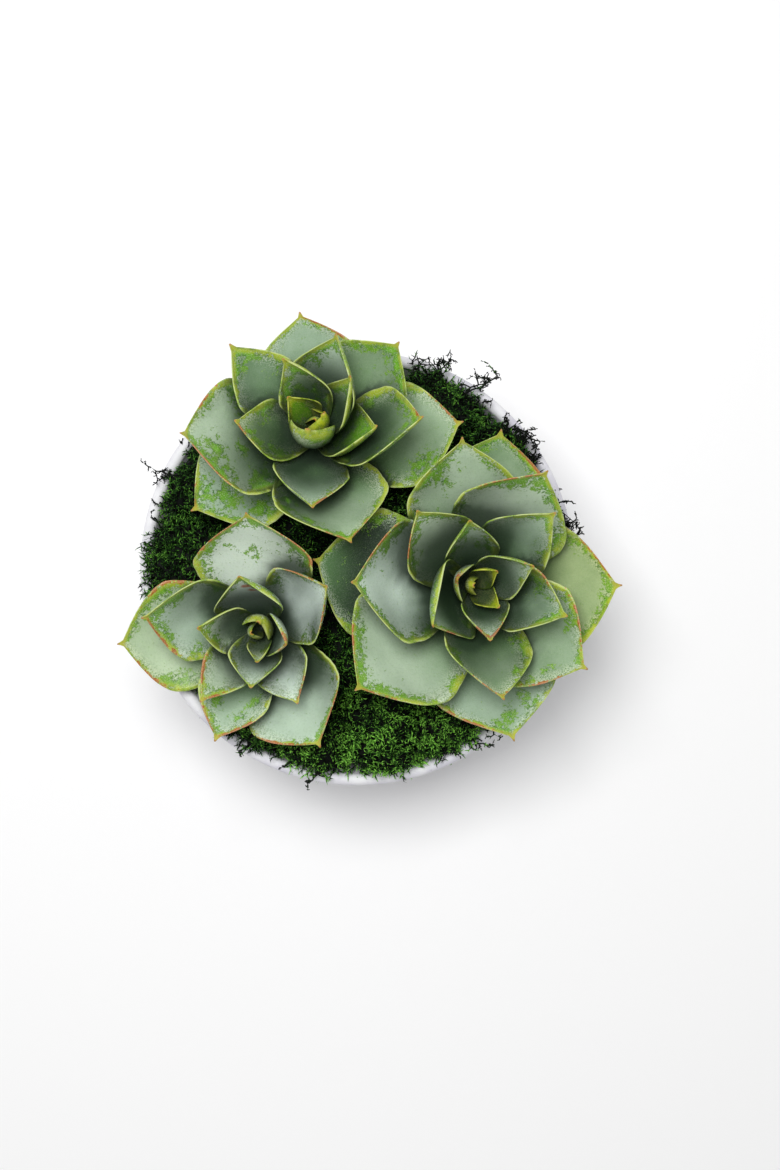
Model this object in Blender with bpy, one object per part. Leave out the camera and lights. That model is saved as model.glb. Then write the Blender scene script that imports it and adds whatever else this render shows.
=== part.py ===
"""Succulent dish garden: three rosettes on short stems in a round bowl of soil, packed with moss.

The origin is the centre of the bowl's underside, +Z is up, and the back rosette stands on the +Y side.
Driving sizes are in millimetres, and every mesh is made in metres.
"""
import math
import random

import bmesh
import bpy
from mathutils import Matrix, Vector
from mathutils.bvhtree import BVHTree

MM = 0.001
GAP = 0.3
SLIVER = 0.05

# Bowl: part of a sphere on a flat foot, with a round lip
BOWL_RADIUS = 100.0
BOWL_HEIGHT = 68.0
BOWL_WALL = 5.5
BOWL_FLOOR = 7.0
FOOT_RADIUS = 45.0
BOWL_SEGMENTS = 48
BOWL_ROWS = 5
LIP_STEPS = 4
SOIL_SEGMENTS = 24
SOIL_ROWS = 3

# Soil and the holes that the stems stand in
SOIL_TOP = 54.0
SOIL_WALL_GAP = 0.5
HOLE_DEPTH = 22.0
HOLE_CUTTER_RISE = 30.0

# Stem and crown of a rosette, along the plant's own axis from its lowest leaf
STEM_RADIUS = 6.5
STEM_SEGMENTS = 16
CROWN_SEGMENTS = 12
CROWN_DROP = 7.0
CROWN_TOP = 15.0
CROWN_RADIUS = 9.5
CROWN_TIP_RADIUS = 2.4
LEAF_ROOT = 3.0
ROOT_CLOSING = 4
LEAF_RISE = 14.0

# Leaf: shares of its length or width, and thicknesses; a pair is for the outermost and the innermost.
# A leaf that stands steeper than the bud's lift curls in by a further share of its length for every degree.
# Roots close in on the axis by a power of the leaf's rank, and leaves under the thick width are thinner
LEAF_BASE_WIDTH = 0.36
LEAF_WIDEST = (0.62, 0.44)
LEAF_SHOULDER = 0.955
LEAF_ROUNDNESS = (1.75, 1.3)
LEAF_BOW = 0.085
BUD_LIFT = 60.0
BUD_CURL = 0.004
LEAF_THICKNESS = 4.4
THICK_WIDTH = 26.0
LEAF_EDGE = 0.8
LEAF_TAPER = 0.6
SPINE_WIDTH = 1.5
LEAF_STATIONS = (0.0, 0.3, 0.55, 0.77, 0.94)
LEAF_RIBS = (-1.0, -0.5, 0.0, 0.5, 1.0)

# Each plant: where its lowest leaf leaves the crown, how far it leans and towards which compass angle.
# Each leaf, outermost first: turn about the plant's axis, lift of its chord, length, width, cup,
# sideways sweep of its tip and roll about its own middle
PLANTS = {
    "back": {
        "crown": (-17.5, 59.5, 75.0),
        "lean": 10.0,
        "towards": 106.0,
        "leaves": (
            (-6, 9, 63, 50, 23, 11, 0),
            (209, 8, 64, 48, 22, 4, -3),
            (96, 12, 54, 46, 26, 2, 0),
            (273, 20, 54, 53, 34, 14, -12),
            (191, 30, 63, 57, 23, -5, 7),
            (43, 23, 54, 48, 28, 1, 2),
            (258, 31, 40, 34, 40, 8, -6),
            (141, 28, 54, 32, 36, -4, 2),
            (349, 36, 56, 43, 33, 8, -17),
            (190, 38, 39, 29, 36, -6, 0),
            (63, 41, 46, 38, 53, 7, -19),
            (338, 45, 36, 28, 48, 7, -8),
            (95, 51, 38, 24, 54, 10, -5),
            (28, 54, 36, 22, 54, 7, -10),
            (263, 80, 32, 19, 90, 0, 0),
            (128, 50, 22, 17, 56, 2, 0),
            (340, 80, 17, 12, 110, 5, 0),
            (60, 84, 13, 8, 90, 0, 0),
        ),
    },
    "right": {
        "crown": (49.5, -7.5, 75.0),
        "lean": 9.0,
        "towards": -8.0,
        "leaves": (
            (177, 4, 68, 60, 18, -8, 0),
            (74, 10, 69, 56, 22, 6, 0),
            (354, 18, 67, 59, 19, 7, 5),
            (286, 12, 71, 61, 19, -1, -2),
            (96, 21, 67, 52, 24, 0, 2),
            (225, 22, 73, 61, 23, -7, 3),
            (321, 24, 64, 52, 24, 2, 10),
            (64, 31, 64, 55, 27, -4, 10),
            (178, 29, 62, 55, 34, 0, 6),
            (277, 36, 58, 43, 30, 3, -18),
            (134, 37, 51, 36, 38, -2, -3),
            (48, 39, 54, 34, 38, -2, 6),
            (342, 42, 49, 31, 42, -1, -8),
            (200, 49, 36, 38, 52, 9, -8),
            (98, 48, 40, 25, 48, 2, 4),
            (293, 52, 34, 21, 60, -6, -14),
            (27, 56, 38, 22, 56, -2, 6),
            (162, 66, 21, 17, 60, 0, 0),
            (313, 58, 22, 11, 58, 0, 0),
            (50, 62, 20, 11, 60, -2, 0),
            (170, 82, 15, 7, 105, 0, 0),
        ),
    },
    "left": {
        "crown": (-41.0, -26.0, 74.0),
        "lean": 9.0,
        "towards": 213.0,
        "leaves": (
            (185, 16, 65, 52, 20, 2, -6),
            (296, 18, 59, 53, 28, 2, 17),
            (92, 26, 55, 55, 34, 2, -5),
            (246, 17, 54, 34, 28, 2, 2),
            (31, 33, 42, 37, 50, 1, -5),
            (164, 31, 54, 42, 31, 8, -16),
            (301, 26, 38, 26, 42, -1, 4),
            (228, 32, 43, 23, 40, 3, 2),
            (102, 45, 32, 32, 58, 1, -10),
            (262, 43, 30, 24, 50, 2, 0),
            (175, 49, 33, 22, 50, 0, -15),
            (351, 60, 28, 19, 62, -2, 4),
            (279, 60, 23, 11, 56, 0, 0),
            (60, 76, 20, 13, 95, 0, 0),
            (200, 84, 14, 7, 105, 0, 0),
        ),
    },
}

# Moss tufts: where each lies on the soil, its reach, how far its heart may pass the bowl's widest ring,
# the height of its top and its forked sprigs
MOSS_TUFTS = (
    (-79, 2, 27, -2, 73, 11),
    (-74, 38, 22, -8, 71, 9),
    (-48, 70, 26, -3, 67, 5),
    (-6, 84, 28, -2, 67, 5),
    (39, 75, 24, -1, 74, 11),
    (70, 53, 23, 2, 74, 11),
    (86, 22, 22, 2, 71, 9),
    (84, -18, 26, 0, 66, 5),
    (62, -54, 26, -3, 67, 5),
    (38, -73, 20, -5, 71, 9),
    (12, -73, 23, -6, 76, 12),
    (-18, -78, 20, -6, 72, 10),
    (-48, -70, 22, -5, 70, 8),
    (-76, -36, 24, -7, 67, 6),
    (-30, 14, 28, 0, 67, 0),
    (8, 18, 28, 0, 66, 0),
    (-2, -38, 28, 0, 69, 4),
)
MOSS_SEED = 11
MOSS_CLEARANCE = 0.7
TUFT_HEART = 6.0
TUFT_SUBDIVISIONS = 2
TUFT_ROUGHNESS = 0.12
TUFT_SOLE = 1.2
BRISTLE_LENGTH = (3.0, 7.5)

# Corners of a tuft that cross a solid are drawn in by this share, so many times over at most
DRAW_SHARE = 0.88
DRAW_PASSES = 12

# Forked sprigs of a tuft: the second branch is slimmer and leaves the first a little above its root
SPRIG_LENGTH = (6.0, 9.5)
SPRIG_LEAST = 2.0
SPRIG_WIDTH = 2.2
BRANCH_SLIMMING = 0.75
SPRIG_ROOT = 2.5
FORK_RISE = 1.0
SPRIG_LEAN = 0.5
SPRIG_LIFT = 0.2
SPRIG_FORK = 0.75
SPRIG_REACH = 5.0

# Faces that look further down than this carry no bristle or sprig
OPEN_FACE = -0.15


def clear_scene():
    for item in list(bpy.data.objects):
        bpy.data.objects.remove(item, do_unlink=True)


def plain_material(name, colour, roughness):
    material = bpy.data.materials.new(name)
    material.use_nodes = True
    shader = material.node_tree.nodes["Principled BSDF"]
    shader.inputs["Base Color"].default_value = (*colour, 1.0)
    shader.inputs["Roughness"].default_value = roughness
    shader.inputs["Metallic"].default_value = 0.0
    return material


def object_from(bm, name, material=None):
    """Turn a bmesh in millimetres into a scene object in metres."""
    bmesh.ops.scale(bm, vec=(MM, MM, MM), verts=bm.verts)
    mesh = bpy.data.meshes.new(name)
    bm.to_mesh(mesh)
    bm.free()
    if material:
        mesh.materials.append(material)
    item = bpy.data.objects.new(name, mesh)
    bpy.context.scene.collection.objects.link(item)
    return item


def finish(item, crease_degrees=40.0):
    item.data.shade_smooth()
    item.data.set_sharp_from_angle(angle=math.radians(crease_degrees))
    return item


def apply_boolean(item, operation, tool=None, tools=None):
    """Apply one exact Boolean with an object or a collection, then remove what was used."""
    modifier = item.modifiers.new("Boolean", "BOOLEAN")
    modifier.operation = operation
    if tool:
        modifier.object = tool
    else:
        modifier.operand_type = "COLLECTION"
        modifier.collection = tools
    bpy.context.view_layer.objects.active = item
    bpy.ops.object.modifier_apply(modifier=modifier.name)
    used = [tool] if tool else list(tools.objects)
    for piece in used:
        bpy.data.objects.remove(piece, do_unlink=True)
    if tools:
        bpy.data.collections.remove(tools)


def keep_largest_body(item):
    """Drop loose scraps and sealed hollows, which are the smaller connected shells."""
    bm = bmesh.new()
    bm.from_mesh(item.data)
    unseen = set(bm.verts)
    shells = []
    while unseen:
        shell = set()
        front = [unseen.pop()]
        while front:
            vert = front.pop()
            shell.add(vert)
            for edge in vert.link_edges:
                other = edge.other_vert(vert)
                if other in unseen:
                    unseen.remove(other)
                    front.append(other)
        shells.append(shell)
    largest = max(shells, key=len)
    scraps = [vert for vert in bm.verts if vert not in largest]
    bmesh.ops.delete(bm, geom=scraps, context="VERTS")
    merge_slivers(bm)
    bm.to_mesh(item.data)
    bm.free()


def merge_slivers(bm):
    """Merge corners that a Boolean left almost together, pair by pair, where the surface stays closed."""
    close_pairs = [edge for edge in bm.edges if edge.calc_length() < SLIVER * MM]
    for edge in close_pairs:
        if edge.is_valid and clean_collapse(edge):
            bmesh.ops.collapse(bm, edges=[edge])


def clean_collapse(edge):
    """Whether the edge's ends share only the neighbours that lie across its own two faces."""
    first, second = edge.verts
    near_first = {spoke.other_vert(first) for spoke in first.link_edges}
    near_second = {spoke.other_vert(second) for spoke in second.link_edges}
    shared = near_first & near_second
    across = {vert for face in edge.link_faces for vert in face.verts} - {first, second}
    triangles = all(len(face.verts) == 3 for face in edge.link_faces)
    return len(edge.link_faces) == 2 and triangles and shared == across


def fuse(core, pieces):
    """Join a node's repeats to the core that they grow from."""
    repeats = bpy.data.collections.new(core.name + "_repeats")
    bpy.context.scene.collection.children.link(repeats)
    for piece in pieces:
        bpy.context.scene.collection.objects.unlink(piece)
        repeats.objects.link(piece)
    apply_boolean(core, "UNION", tools=repeats)
    keep_largest_body(core)
    return finish(core)


# Bowl and soil


def sphere_of_bowl():
    """Height of the sphere's centre and its radius, from the foot's edge and the lip's widest ring."""
    lip_height = BOWL_HEIGHT - BOWL_WALL / 2
    centre = (BOWL_RADIUS ** 2 + lip_height ** 2 - FOOT_RADIUS ** 2) / (2 * lip_height)
    return centre, math.hypot(FOOT_RADIUS, centre)


def wall_radius(height, inset):
    centre, radius = sphere_of_bowl()
    return math.sqrt((radius - inset) ** 2 - (centre - height) ** 2)


def spin_outline(outline, segments):
    """Turn an open outline of (radius, height) points about the Z axis and close it at both ends."""
    bm = bmesh.new()
    verts = [bm.verts.new((r, 0.0, z)) for r, z in outline]
    edges = [bm.edges.new(pair) for pair in zip(verts, verts[1:])]
    bmesh.ops.spin(
        bm, geom=verts + edges, cent=(0, 0, 0), axis=(0, 0, 1),
        angle=math.tau, steps=segments, use_merge=True,
    )
    bmesh.ops.remove_doubles(bm, verts=bm.verts, dist=0.001)
    bmesh.ops.contextual_create(bm, geom=[edge for edge in bm.edges if edge.is_boundary])
    bmesh.ops.recalc_face_normals(bm, faces=bm.faces)
    return bm


def make_bowl():
    lip_radius = BOWL_WALL / 2
    lip_centre = BOWL_RADIUS - lip_radius
    lip_height = BOWL_HEIGHT - lip_radius
    outline = [(0.0, 0.0)]
    for row in range(BOWL_ROWS):
        height = lip_height * row / BOWL_ROWS
        outline.append((wall_radius(height, 0.0), height))
    for step in range(LIP_STEPS + 1):
        angle = math.pi * step / LIP_STEPS
        height = lip_height + lip_radius * math.sin(angle)
        outline.append((lip_centre + lip_radius * math.cos(angle), height))
    for row in range(1, BOWL_ROWS + 1):
        height = lip_height + (BOWL_FLOOR - lip_height) * row / BOWL_ROWS
        outline.append((wall_radius(height, BOWL_WALL), height))
    outline.append((0.0, BOWL_FLOOR))
    bm = spin_outline(outline, BOWL_SEGMENTS)
    return finish(object_from(bm, "bowl", plain_material("bowl_white", (0.72, 0.71, 0.75), 0.6)))


def make_soil():
    floor = BOWL_FLOOR + GAP
    outline = [(0.0, floor)]
    for row in range(SOIL_ROWS + 1):
        height = floor + (SOIL_TOP - floor) * row / SOIL_ROWS
        outline.append((wall_radius(height, BOWL_WALL) - SOIL_WALL_GAP, height))
    outline.append((0.0, SOIL_TOP))
    bm = spin_outline(outline, SOIL_SEGMENTS)
    soil = object_from(bm, "soil", plain_material("soil_brown", (0.03, 0.02, 0.015), 0.95))
    for plant in PLANTS.values():
        cutter = stem_rod(plant, STEM_RADIUS + GAP, SOIL_TOP - HOLE_DEPTH, SOIL_TOP + HOLE_CUTTER_RISE)
        apply_boolean(soil, "DIFFERENCE", tool=cutter)
    return finish(soil)


# Stems and rosettes


def plant_frame(plant):
    """The plant's own frame: its axis as Z, from the crown's lowest leaf, with X as near +X as may be."""
    lean = math.radians(plant["lean"])
    towards = math.radians(plant["towards"])
    axis = Vector((math.sin(lean) * math.cos(towards), math.sin(lean) * math.sin(towards), math.cos(lean)))
    across = (Vector((1, 0, 0)) - axis * axis.x).normalized()
    turned = Matrix((across, axis.cross(across), axis)).transposed()
    return Matrix.Translation(Vector(plant["crown"])) @ turned.to_4x4()


def stem_rod(plant, radius, low, high):
    """A round rod along a plant's axis, between two heights of the axis's own points."""
    frame = plant_frame(plant)
    slope = math.cos(math.radians(plant["lean"]))
    start = (low - plant["crown"][2]) / slope
    end = (high - plant["crown"][2]) / slope
    bm = bmesh.new()
    bmesh.ops.create_cone(
        bm, cap_ends=True, segments=STEM_SEGMENTS, radius1=radius, radius2=radius, depth=end - start,
    )
    bmesh.ops.translate(bm, vec=(0, 0, (start + end) / 2), verts=bm.verts)
    bmesh.ops.transform(bm, matrix=frame, verts=bm.verts)
    return object_from(bm, "rod")


def make_stem(name, plant, material):
    crown_foot = plant["crown"][2] - (CROWN_DROP + GAP) * math.cos(math.radians(plant["lean"]))
    stem = stem_rod(plant, STEM_RADIUS, SOIL_TOP - HOLE_DEPTH + GAP, crown_foot)
    stem.name = "stem_" + name
    stem.data.materials.append(material)
    return finish(stem)


def blend(pair, share):
    return pair[0] + (pair[1] - pair[0]) * share


def leaf_outline(along, rank):
    """Half width of a leaf as a share of its widest half: outer leaves are rounder, widest further out."""
    widest = blend(LEAF_WIDEST, rank)
    if along < widest:
        swell = math.sin(math.pi / 2 * along / widest)
        return LEAF_BASE_WIDTH + (1 - LEAF_BASE_WIDTH) * swell
    past = min(1.0, (along - widest) / (LEAF_SHOULDER - widest))
    return 1 - past ** blend(LEAF_ROUNDNESS, rank)


def leaf_point(leaf, rank, along, across, under):
    """A point of a leaf in its plant's frame: along 0 to 1, across -1 to 1, on the upper or under face.

    The rank runs from 0 for the outermost leaf to 1 for the innermost.
    """
    turn, steep, length, width, cup, sweep, roll = leaf
    turn, lift, cup, roll = (math.radians(angle) for angle in (turn, steep, cup, roll))
    up = Vector((0, 0, 1))
    out = Vector((math.cos(turn), math.sin(turn), 0))
    level = up.cross(out)
    chord = out * math.cos(lift) + up * math.sin(lift)
    square = up * math.cos(lift) - out * math.sin(lift)
    bow = (LEAF_BOW + BUD_CURL * max(0.0, steep - BUD_LIFT)) * length * 4
    root = LEAF_ROOT * (1 - rank ** ROOT_CLOSING)
    middle = out * root + up * (LEAF_RISE * rank) + chord * (length * along)
    middle += level * (sweep * along ** 2) - square * (bow * along * (1 - along))
    slope = chord * length + level * (2 * sweep * along) - square * (bow * (1 - 2 * along))
    flat_face = slope.cross(level).normalized()
    flat_side = flat_face.cross(slope).normalized()
    side = flat_side * math.cos(roll) + flat_face * math.sin(roll)
    face = flat_face * math.cos(roll) - flat_side * math.sin(roll)
    spine = SPINE_WIDTH / 2 * min(1.0, (1 - along) / (1 - LEAF_SHOULDER))
    half = max(width / 2 * leaf_outline(along, rank), spine)
    radius = half / math.sin(cup)
    bend = cup * across
    point = middle + side * (radius * math.sin(bend)) + face * (radius * (1 - math.cos(bend)))
    if under:
        most = (LEAF_THICKNESS - LEAF_EDGE) * min(1.0, width / THICK_WIDTH)
        full = LEAF_EDGE + most * (1 - along) ** LEAF_TAPER
        thickness = LEAF_EDGE + (full - LEAF_EDGE) * (1 - across ** 2)
        point -= (face * math.cos(bend) - side * math.sin(bend)) * thickness
    return point


def leaf_bmesh(leaf, rank, frame, stations, ribs):
    """A closed leaf: rings of upper and under points, bridged to a pointed tip and a capped root."""
    bm = bmesh.new()
    rings = []
    for along in stations:
        upper = [leaf_point(leaf, rank, along, across, False) for across in ribs]
        under = [leaf_point(leaf, rank, along, across, True) for across in reversed(ribs)]
        rings.append([bm.verts.new(point) for point in upper + under])
    count = 2 * len(ribs)
    for near, far in zip(rings, rings[1:]):
        for index in range(count):
            after = (index + 1) % count
            bm.faces.new((near[index], near[after], far[after], far[index]))
    tip = bm.verts.new(leaf_point(leaf, rank, 1.0, 0.0, False))
    for index in range(count):
        bm.faces.new((rings[-1][index], rings[-1][(index + 1) % count], tip))
    bm.faces.new(list(reversed(rings[0])))
    bmesh.ops.triangulate(bm, faces=bm.faces)
    bmesh.ops.recalc_face_normals(bm, faces=bm.faces)
    bmesh.ops.transform(bm, matrix=frame, verts=bm.verts)
    return bm


def make_rosette(name, plant, material):
    frame = plant_frame(plant)
    bm = bmesh.new()
    bmesh.ops.create_cone(
        bm, cap_ends=True, segments=CROWN_SEGMENTS, radius1=CROWN_RADIUS, radius2=CROWN_TIP_RADIUS,
        depth=CROWN_DROP + CROWN_TOP,
    )
    bmesh.ops.translate(bm, vec=(0, 0, (CROWN_TOP - CROWN_DROP) / 2), verts=bm.verts)
    bmesh.ops.transform(bm, matrix=frame, verts=bm.verts)
    core = object_from(bm, "rosette_" + name, material)
    leaves = []
    last = len(plant["leaves"]) - 1
    for number, leaf in enumerate(plant["leaves"]):
        blade = leaf_bmesh(leaf, number / last, frame, LEAF_STATIONS, LEAF_RIBS)
        leaves.append(object_from(blade, f"leaf_{name}_{number}", material))
    return fuse(core, leaves)


# Moss


def solid_tree(items):
    """A search tree over the faces of several objects, in millimetres."""
    points = []
    faces = []
    for item in items:
        first = len(points)
        points += [vert.co / MM for vert in item.data.vertices]
        item.data.calc_loop_triangles()
        faces += [[first + index for index in face.vertices] for face in item.data.loop_triangles]
    return BVHTree.FromPolygons(points, faces)


def tuft_bound(number, start, direction, further):
    """How far a tuft may grow from a point before it meets a neighbour's half of the soil or its edge."""
    here = Vector(MOSS_TUFTS[number][:2])
    reach = math.inf
    for other, row in enumerate(MOSS_TUFTS):
        if other == number:
            continue
        apart = Vector(row[:2]) - here
        limit = (here + apart * (MOSS_TUFTS[number][2] / (MOSS_TUFTS[number][2] + row[2])) - start.xy)
        speed = direction.xy.dot(apart.normalized())
        if speed > 0:
            reach = min(reach, (limit.dot(apart.normalized()) - GAP / 2) / speed)
    outward = direction.xy.length_squared
    if outward > 0:
        middle = start.xy.dot(direction.xy) / outward
        edge = BOWL_RADIUS + MOSS_TUFTS[number][3] + further
        past = (start.xy.length_squared - edge ** 2) / outward
        reach = min(reach, math.sqrt(max(0.0, middle ** 2 - past)) - middle)
    return max(0.0, reach)


def free_reach(tree, start, direction, wanted):
    """The part of a wanted length that stays clear of the solids."""
    hit = tree.ray_cast(start, direction, wanted + MOSS_CLEARANCE)
    return wanted if hit[0] is None else max(0.0, hit[3] - MOSS_CLEARANCE)


def tuft_heart(number, tree, rng):
    """The tuft's dense middle: a rough mound on the soil that gives way to leaves, wall and neighbours."""
    east, north, reach, _, top, _ = MOSS_TUFTS[number]
    heart = Vector((east, north, SOIL_TOP + TUFT_HEART))
    floor = SOIL_TOP + GAP
    bm = bmesh.new()
    bmesh.ops.create_icosphere(bm, subdivisions=TUFT_SUBDIVISIONS, radius=1.0)
    for vert in bm.verts:
        direction = vert.co.normalized()
        height = top - heart.z if direction.z > 0 else heart.z - floor
        rough = 1 + TUFT_ROUGHNESS * rng.uniform(-1, 1)
        wanted = rough / math.sqrt(direction.xy.length_squared / reach ** 2 + (direction.z / height) ** 2)
        if direction.z < 0:
            wanted = min(wanted, (heart.z - floor) / -direction.z)
        wanted = min(wanted, tuft_bound(number, heart, direction, 0.0))
        vert.co = heart + direction * free_reach(tree, heart, direction, wanted)
        if direction.z < 0 and vert.co.z < floor + TUFT_SOLE:
            vert.co.z = floor
    bristle(bm, number, tree, rng)
    draw_clear(bm, tree, heart, floor)
    return bm


def bristle(bm, number, tree, rng):
    """Raise a pointed bristle from the middle of every face that looks up or outwards."""
    bm.normal_update()
    open_faces = [face for face in bm.faces if face.normal.z > OPEN_FACE]
    for face in open_faces:
        normal = face.normal.copy()
        middle = face.calc_center_median()
        wanted = rng.uniform(*BRISTLE_LENGTH)
        room = min(free_reach(tree, middle, normal, wanted), tuft_bound(number, middle, normal, 0.0))
        point = bmesh.ops.poke(bm, faces=[face])["verts"][0]
        point.co = middle + normal * max(0.0, room)


def draw_clear(bm, tree, heart, floor):
    """Draw in the corners of faces that cross a solid, until none does."""
    for _ in range(DRAW_PASSES):
        bm.faces.ensure_lookup_table()
        crossing = {pair[0] for pair in BVHTree.FromBMesh(bm).overlap(tree)}
        corners = {vert for index in crossing for vert in bm.faces[index].verts}
        corners |= {vert for vert in bm.verts if tree.find_nearest(vert.co)[3] < GAP * 0.9}
        if not corners:
            return
        for vert in corners:
            lowest = vert.co.z <= floor
            vert.co = heart.lerp(vert.co, DRAW_SHARE)
            if lowest:
                vert.co.z = floor


def sprig(start, direction, length, width, spin):
    """A three-sided pointed sprig."""
    bm = bmesh.new()
    bmesh.ops.create_cone(bm, cap_ends=True, segments=3, radius1=width / 2, radius2=0.0, depth=length)
    bmesh.ops.translate(bm, vec=(0, 0, length / 2), verts=bm.verts)
    bmesh.ops.rotate(bm, cent=(0, 0, 0), matrix=Matrix.Rotation(spin, 3, "Z"), verts=bm.verts)
    turned = direction.to_track_quat("Z", "Y").to_matrix()
    bmesh.ops.rotate(bm, cent=(0, 0, 0), matrix=turned, verts=bm.verts)
    bmesh.ops.translate(bm, vec=start, verts=bm.verts)
    return bm


def grow_sprigs(number, heart, tree, rng):
    """Forked sprigs that stand out of a tuft's heart wherever there is room for them."""
    bm = bmesh.new()
    bm.from_mesh(heart.data)
    open_faces = [face for face in bm.faces if face.normal.z > OPEN_FACE]
    sprigs = []
    for face in rng.sample(open_faces, MOSS_TUFTS[number][5]):
        normal = face.normal.copy()
        root = face.calc_center_median() / MM - normal * SPRIG_ROOT
        lean = Vector([rng.uniform(-SPRIG_LEAN, SPRIG_LEAN) for _ in range(3)])
        direction = (normal + lean + Vector((0, 0, SPRIG_LIFT))).normalized()
        for branch in range(2):
            wanted = SPRIG_ROOT + rng.uniform(*SPRIG_LENGTH)
            bound = tuft_bound(number, root, direction, SPRIG_REACH) - SPRIG_WIDTH / 2
            room = min(free_reach(tree, root, direction, wanted), bound)
            if room > SPRIG_ROOT + SPRIG_LEAST and (root + direction * room).z > SOIL_TOP + SPRIG_LEAST:
                width = SPRIG_WIDTH * BRANCH_SLIMMING ** branch
                body = sprig(root, direction, room, width, rng.uniform(0, math.tau / 3))
                if not BVHTree.FromBMesh(body).overlap(tree):
                    sprigs.append(body)
                else:
                    body.free()
            root = root + direction * (SPRIG_ROOT + FORK_RISE)
            fork = Vector([rng.uniform(-1, 1) for _ in range(3)])
            direction = (direction + fork.normalized() * SPRIG_FORK).normalized()
    bm.free()
    return sprigs


def make_tuft(number, tree, material):
    rng = random.Random(MOSS_SEED + number)
    heart = object_from(tuft_heart(number, tree, rng), f"moss_{number + 1:02d}", material)
    branches = []
    for count, body in enumerate(grow_sprigs(number, heart, tree, rng)):
        branches.append(object_from(body, f"sprig_{number}_{count}", material))
    return fuse(heart, branches) if branches else finish(heart)


def main():
    clear_scene()
    solids = [make_bowl(), make_soil()]
    bark = plain_material("stem_brown", (0.16, 0.09, 0.05), 0.85)
    leaf_green = plain_material("leaf_green", (0.30, 0.45, 0.32), 0.55)
    for name, plant in PLANTS.items():
        solids.append(make_stem(name, plant, bark))
        solids.append(make_rosette(name, plant, leaf_green))
    tree = solid_tree(solids)
    moss_green = plain_material("moss_green", (0.03, 0.10, 0.03), 0.9)
    for number in range(len(MOSS_TUFTS)):
        make_tuft(number, tree, moss_green)


main()
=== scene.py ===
"""Succulent dish garden: the finished looks of a bowl with three rosettes, soil and moss.

It is seen from straight above. Sizes are in millimetres, and every mesh is made in metres.
"""

import math
import random

import bmesh
import bpy
from mathutils import Matrix, Vector, noise
from mathutils.bvhtree import BVHTree


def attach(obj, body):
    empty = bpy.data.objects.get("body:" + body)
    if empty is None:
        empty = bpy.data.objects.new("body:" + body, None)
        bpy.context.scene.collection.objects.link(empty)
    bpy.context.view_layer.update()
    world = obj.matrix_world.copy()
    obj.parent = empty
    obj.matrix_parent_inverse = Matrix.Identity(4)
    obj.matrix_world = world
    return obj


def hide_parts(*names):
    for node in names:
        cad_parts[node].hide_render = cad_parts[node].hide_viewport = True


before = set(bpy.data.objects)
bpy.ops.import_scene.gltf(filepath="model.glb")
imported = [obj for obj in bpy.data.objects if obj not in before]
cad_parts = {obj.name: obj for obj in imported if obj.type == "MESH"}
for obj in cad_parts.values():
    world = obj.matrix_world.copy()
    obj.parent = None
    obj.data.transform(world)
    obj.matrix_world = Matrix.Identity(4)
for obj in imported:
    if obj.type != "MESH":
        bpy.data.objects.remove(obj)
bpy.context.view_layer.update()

# Camera
# The photograph looks straight down on the bowl, with the back rosette at the top of the picture.
# The lens is a short telephoto about nine tenths of a metre above the table.
camera = bpy.data.objects.new("camera", bpy.data.cameras.new("camera"))
bpy.context.scene.collection.objects.link(camera)
camera.location = (0.0151, -0.0077, 0.868)
camera.data.lens = 53.593
camera.data.sensor_width = 36.0
camera.data.clip_start = 0.01
bpy.context.scene.camera = camera

# Bowl
# A cast white bowl: part of a sphere on a flat foot, with a thin rounded lip.
# Its matte surface is clouded with pale lilac grey and pricked with a few fine pores.
MM = 0.001
BOWL_RADIUS = 100.0
BOWL_HEIGHT = 68.0
BOWL_WALL = 5.5
BOWL_FLOOR = 7.0
FOOT_RADIUS = 45.0
FOOT_BEVEL = 1.2
BOWL_TURNS = 128
WALL_ROWS = 22
LIP_STEPS = 12
WELD_DISTANCE = 0.001
WALL_UNEVENNESS = 0.25
WALL_WAVES = ((0.03, 1.0), (0.11, 0.4))


def wall_radius(height, inset):
    """Radius of the bowl's wall at a height, inset from its outer face."""
    lip_height = BOWL_HEIGHT - BOWL_WALL / 2
    centre = (BOWL_RADIUS ** 2 + lip_height ** 2 - FOOT_RADIUS ** 2) / (2 * lip_height)
    radius = math.hypot(FOOT_RADIUS, centre)
    return math.sqrt((radius - inset) ** 2 - (centre - height) ** 2)


def turned(outline, turns):
    """Spin an outline of (radius, height) points, from the axis back to the axis, into a closed shape."""
    bm = bmesh.new()
    verts = [bm.verts.new((radius, 0, height)) for radius, height in outline]
    edges = [bm.edges.new(pair) for pair in zip(verts, verts[1:])]
    bmesh.ops.spin(
        bm, geom=verts + edges, cent=(0, 0, 0), axis=(0, 0, 1), angle=math.tau, steps=turns, use_merge=True,
    )
    bmesh.ops.remove_doubles(bm, verts=bm.verts, dist=WELD_DISTANCE)
    bmesh.ops.recalc_face_normals(bm, faces=bm.faces)
    return bm


def waved(place, waves):
    """A smooth random swell: noise summed over pairs of its scale and its share."""
    return sum(share * noise.noise(place * scale) for scale, share in waves)


def piece_from(bm, name, material, nodes):
    """Bring a bmesh in millimetres into the scene as a piece that stands for CAD nodes."""
    bmesh.ops.scale(bm, vec=(MM, MM, MM), verts=bm.verts)
    mesh = bpy.data.meshes.new(name)
    bm.to_mesh(mesh)
    bm.free()
    mesh.shade_smooth()
    mesh.materials.append(material)
    piece = bpy.data.objects.new(name, mesh)
    bpy.context.scene.collection.objects.link(piece)
    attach(piece, "root")
    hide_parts(*nodes)
    return piece


def new_material(name, roughness):
    """A material with nodes, and its Principled shader."""
    material = bpy.data.materials.new(name)
    material.use_nodes = True
    shader = material.node_tree.nodes["Principled BSDF"]
    shader.inputs["Roughness"].default_value = roughness
    return material, shader


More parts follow.
